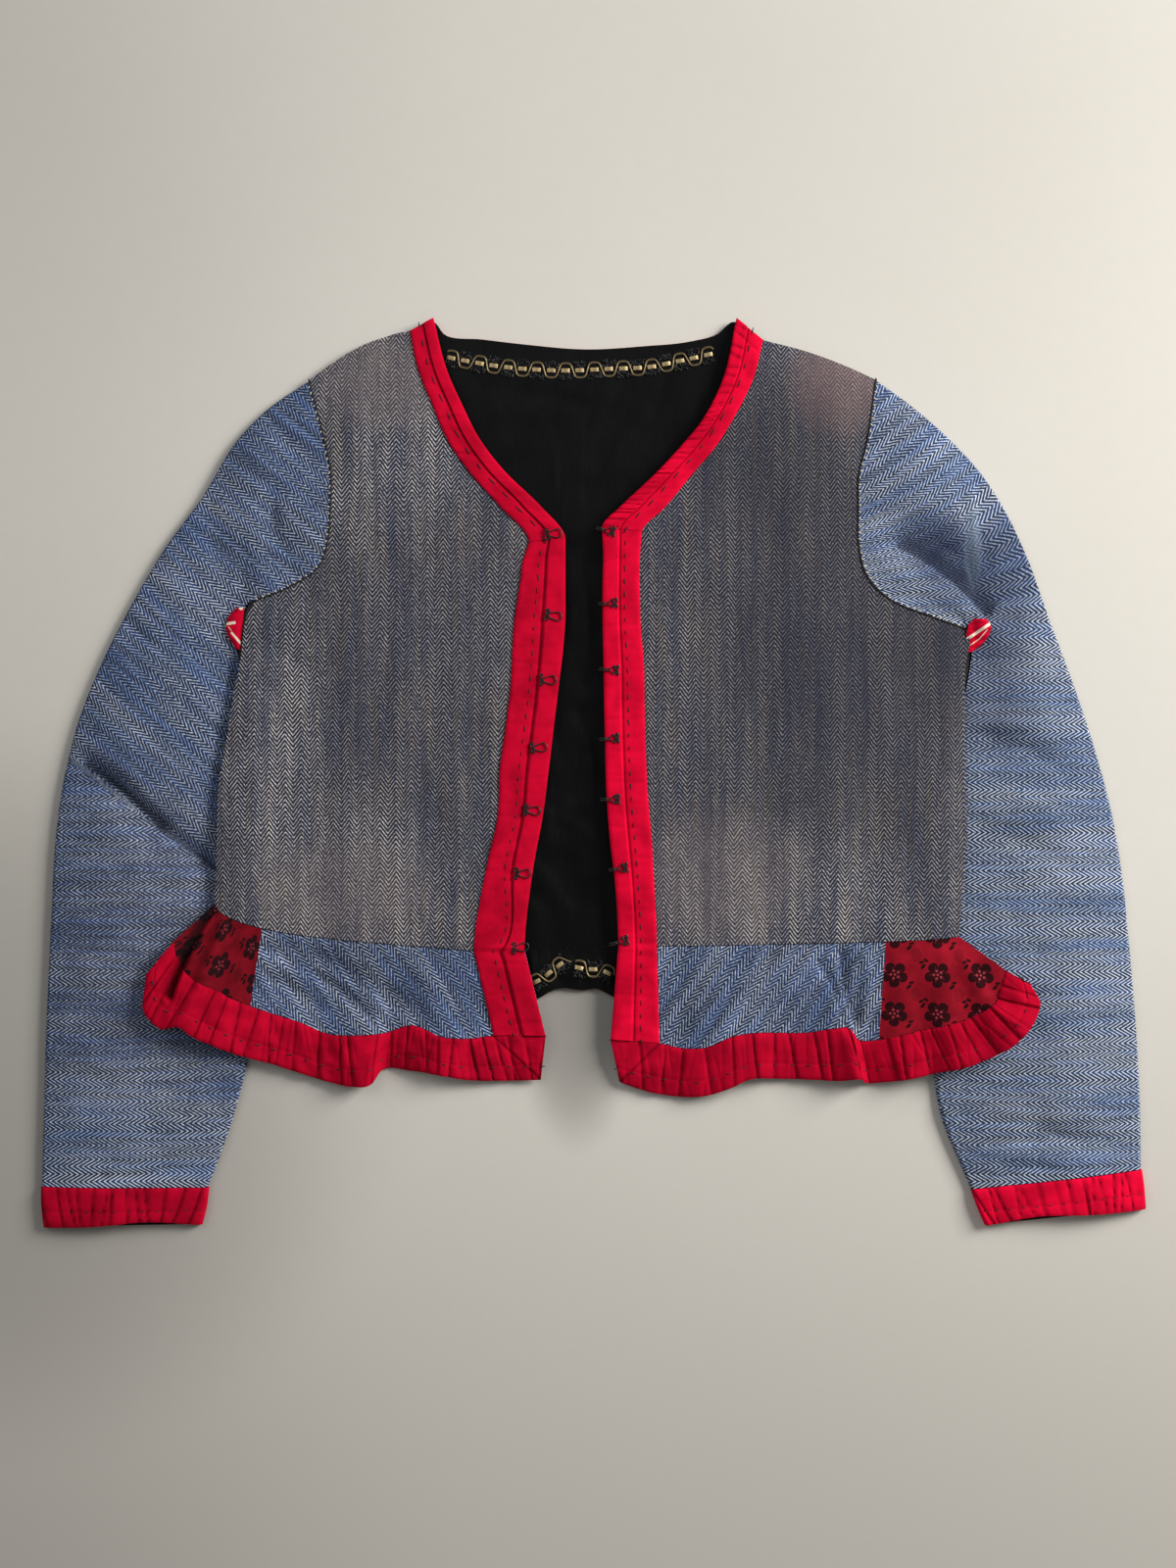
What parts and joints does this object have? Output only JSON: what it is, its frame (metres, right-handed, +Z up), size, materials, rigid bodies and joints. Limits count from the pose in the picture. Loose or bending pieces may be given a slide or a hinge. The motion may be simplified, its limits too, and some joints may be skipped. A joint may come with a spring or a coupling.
{
  "type": "folk jacket",
  "caption": "Short jacket laid flat, with a V neck edged in red bands, hook and eye front, long bent sleeves with red cuffs, and a gathered peplum with printed godets and a red hem",
  "frame": {"origin": "middle of the outline, on the surface that the jacket lies on", "axes": "+X across the jacket towards the picture right sleeve, +Y from hem to neck, +Z up from the surface"},
  "size_m": [0.748, 0.6148, 0.0268],
  "materials": {
    "herringbone_body": "woven wool and cotton herringbone, charcoal and indigo with cream flecks, matt",
    "herringbone_sleeve": "woven herringbone, brighter blue with cream, matt",
    "herringbone_skirt": "woven herringbone in wide slanted bands, blue with cream, matt",
    "red_cotton": "crimson plain cotton, matt with a faint sheen",
    "printed_cotton": "red cotton printed with small black flowers",
    "striped_cotton": "red cotton with one cream stripe",
    "black_satin": "black satin lining, soft shine",
    "gilt_braid": "gilt cord braid, dull metallic",
    "dark_wire": "dark lacquered wire"
  },
  "bodies": {
    "root": {"front_left": "herringbone_body", "neck_facing_left": "red_cotton", "front_facing_left": "red_cotton", "skirt_front_left": "herringbone_skirt", "godet_left": "printed_cotton", "hem_band_left": "red_cotton", "sleeve_left": "herringbone_sleeve", "cuff_left": "red_cotton", "gusset_left": "striped_cotton", "front_right": "herringbone_body", "neck_facing_right": "red_cotton", "front_facing_right": "red_cotton", "skirt_front_right": "herringbone_skirt", "godet_right": "printed_cotton", "hem_band_right": "red_cotton", "sleeve_right": "herringbone_sleeve", "cuff_right": "red_cotton", "gusset_right": "red_cotton", "back_panel": "herringbone_body", "back_lining": "black_satin", "neck_facing_back": "red_cotton", "skirt_back": "herringbone_skirt", "hem_band_back": "red_cotton", "skirt_lining": "black_satin", "eye_1": "dark_wire", "hook_1": "dark_wire", "eye_2": "dark_wire", "hook_2": "dark_wire", "eye_3": "dark_wire", "hook_3": "dark_wire", "eye_4": "dark_wire", "hook_4": "dark_wire", "eye_5": "dark_wire", "hook_5": "dark_wire", "eye_6": "dark_wire", "hook_6": "dark_wire", "eye_7": "dark_wire", "hook_7": "dark_wire", "braid_neck": "gilt_braid", "braid_hem_left": "gilt_braid", "braid_hem_right": "gilt_braid"}
  },
  "joints": []
}
